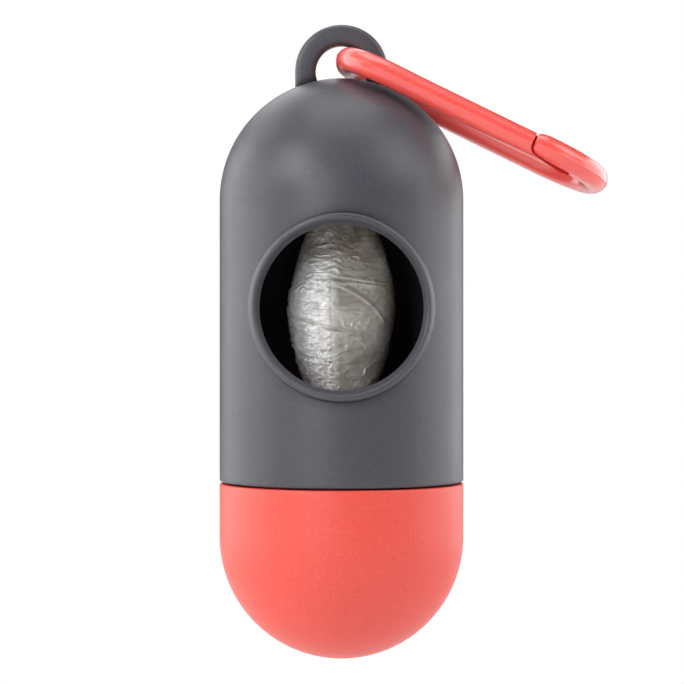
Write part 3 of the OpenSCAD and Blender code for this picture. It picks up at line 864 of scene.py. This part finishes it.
ring_rows = [section(Vector((x, -SIDE_Y, 0)), -forward, WIRE_R) for x in steps(ROOT_X, NEAR_R, 3)]
ring_rows += [section(p, -t, WIRE_R) for p, t in bend_points(NEAR_R, -END_Y, NEAR_R, 270, 180, 22)[1:]]
ring_rows += [section(p, -t, WIRE_R) for p, t in bend_points(NEAR_R, END_Y, NEAR_R, 180, 90, 22)]
ring_rows += [section(Vector((x, SIDE_Y, 0)), forward, WIRE_R) for x in steps(NEAR_R, FAR_X, 24)[1:]]
notch = math.degrees(math.acos((TIP_X + TIP_GAP - FAR_X) / SIDE_Y))
ring_rows += [nose_section(p, -t) for p, t in bend_points(FAR_X, 0, SIDE_Y, 90, -notch, 40)[1:]]
ring_rows += [nose_section(p, -t, 0, 0) for p, t in bend_points(FAR_X, 0, SIDE_Y, -notch, -90, 8)]

# The nose is slimmer towards its end, with the corner of its cut and its end rounded
nose = [(x, 0) for x in steps(FAR_X, NOSE_X + END_ROUND, 16)[1:]]
nose += [(NOSE_X + END_ROUND * (1 - math.sin(a)), 0.5 * END_ROUND * (1 - math.cos(a)))
         for a in steps(0, math.pi / 2, 5)[1:]]
for x, rounding in nose:
    slim = NOSE_SLIM * max(0, 1 - (x - NOSE_X) / NOSE_SLIM_L) ** 2 + rounding
    corner = max(0, 1 - (x - NOSE_X) / NOSE_ROUND)
    depth = NOSE_ROUND * (1 - math.sqrt(max(0, 1 - corner ** 2)))
    ring_rows.append(nose_section(Vector((x, -SIDE_Y, 0)), -forward, slim, depth))
clip_ring = clip_piece("clip_ring", ring_rows, acetal)
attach(clip_ring, "clip_body")
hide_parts("clip_frame")


# ---- Clip gate ----
# The front side of the clip, in one piece with the ring. A round cut thins it near its root, where
# it bends inwards and springs back, and its flat tip laps behind the nose.
GATE_R = 1.95 * MM
GATE_TAPER_L = 3 * MM
FLEX_X = 15 * MM
FLEX_CUT_R = 12 * MM
FLEX_LEFT = 0.65 * MM
SHOULDER_X = NOSE_X - 0.3 * MM
FILLET = 1.3 * MM
FILLET_START = 0.02 * MM


def flex_limit(x):
    """How far the gate reaches inwards of its centre line, where a round cut thins it to bend."""
    return FLEX_LEFT + FLEX_CUT_R - math.sqrt(max(0, FLEX_CUT_R ** 2 - (x - FLEX_X) ** 2))


gate_rows = []
for x in steps(ROOT_X, SHOULDER_X, 72):
    radius = WIRE_R + (GATE_R - WIRE_R) * min(1, (x - ROOT_X) / GATE_TAPER_L)
    gate_rows.append(section(Vector((x, -SIDE_Y, 0)), -forward, radius, inside_way, flex_limit(x) - SIDE_Y))
for x in steps(SHOULDER_X + FILLET_START, SHOULDER_X + FILLET, 8):
    corner = 1 - (x - SHOULDER_X) / FILLET
    fillet = FILLET * (1 - math.sqrt(max(0, 1 - corner ** 2)))
    gate_rows.append(section(Vector((x, -SIDE_Y, 0)), -forward, GATE_R, lap_normal, lap_height - fillet, -1))
tip = [(Vector((x, -SIDE_Y, 0)), -forward) for x in steps(SHOULDER_X + FILLET, FAR_X, 5)[1:]]
tip_turn = math.degrees(math.asin((TIP_X - END_ROUND - FAR_X) / SIDE_Y))
tip += [(p, -t) for p, t in bend_points(FAR_X, 0, SIDE_Y, -90, tip_turn - 90, 10)[1:]]
gate_rows += [section(p, along, GATE_R, lap_normal, lap_height, -1) for p, along in tip]
p, along = tip[-1]
for a in steps(0, math.pi / 2, 5)[1:]:
    inset = END_ROUND * (1 - math.cos(a))
    end = p - along * END_ROUND * math.sin(a)
    gate_rows.append(section(end, along, GATE_R - inset, lap_normal, lap_height + 0.3 * inset, -1))
clip_gate = clip_piece("clip_gate_arm", gate_rows, acetal)
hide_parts("clip_gate")
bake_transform(clip_gate)


# ---- Studio ----
# Soft lamps in front to the left and right, behind and above, a long one at each side that lights the
# edges, and a pale floor under them that throws light up from below and stays out of view.
FLOOR_HALF = 2.5
FLOOR_Z = -0.15
FILL = 0.02
floor_mesh = bpy.data.meshes.new("floor")
floor_corners = [(-FLOOR_HALF, -FLOOR_HALF, FLOOR_Z), (FLOOR_HALF, -FLOOR_HALF, FLOOR_Z),
                 (FLOOR_HALF, FLOOR_HALF, FLOOR_Z), (-FLOOR_HALF, FLOOR_HALF, FLOOR_Z)]
floor_mesh.from_pydata(floor_corners, [], [(0, 1, 2, 3)])
floor = bpy.data.objects.new("floor", floor_mesh)
bpy.context.scene.collection.objects.link(floor)

# Backdrop paper is pale, even and quite dull
grey_paper, tree, shader = new_material("grey_paper", Base_Color=linear("#e2e2e2"), Roughness=0.9)
floor_mesh.materials.append(grey_paper)
floor.visible_camera = False

# Seen directly or through something clear, the surroundings are white; they light the object faintly
world = bpy.data.worlds.new("studio")
world.use_nodes = True
bpy.context.scene.world = world
tree = world.node_tree
path = add(tree, "ShaderNodeLightPath").outputs
shown = add(tree, "ShaderNodeMath", {0: path["Is Camera Ray"], 1: path["Is Transmission Ray"]},
            operation="MAXIMUM")
surround = add(tree, "ShaderNodeMix", {0: shown, 6: (FILL, FILL, FILL, 1), 7: linear("#ffffff")},
               data_type="RGBA")
feed(tree, tree.nodes["Background"], {"Color": surround})


def softbox(name, bearing, height, distance, sides, power):
    """An area lamp aimed at the capsule; bearing is in degrees to the right of the camera's side."""
    data = bpy.data.lights.new(name, "AREA")
    data.shape = "RECTANGLE"
    data.size, data.size_y = sides
    data.energy = power
    lamp = bpy.data.objects.new(name, data)
    aim = Vector((0, 0, -45 * MM))
    a = math.radians(bearing)
    lamp.location = aim + Vector((distance * math.sin(a), -distance * math.cos(a), height))
    lamp.rotation_euler = (aim - lamp.location).to_track_quat("-Z", "Y").to_euler()
    bpy.context.scene.collection.objects.link(lamp)


softbox("key_box", -50, 0.42, 0.7, (0.35, 0.3), 3.1)
softbox("front_box", -24, 0.15, 0.7, (0.35, 0.3), 1.6)
softbox("right_box", 62, 0.5, 0.7, (0.5, 0.5), 2.8)
softbox("left_back", -120, 0.55, 0.7, (0.5, 0.5), 1.4)
softbox("back_box", -165, 0.6, 0.7, (0.5, 0.5), 1.9)
softbox("top_box", 0, 0.75, 0.05, (0.6, 0.6), 3.1)
softbox("left_rim", -105, 0.1, 0.7, (1.0, 0.5), 4.2)
softbox("right_rim", 112, 0.1, 0.7, (1.1, 0.6), 5.0)
bpy.context.scene.view_settings.view_transform = "Standard"

bpy.context.view_layer.update()
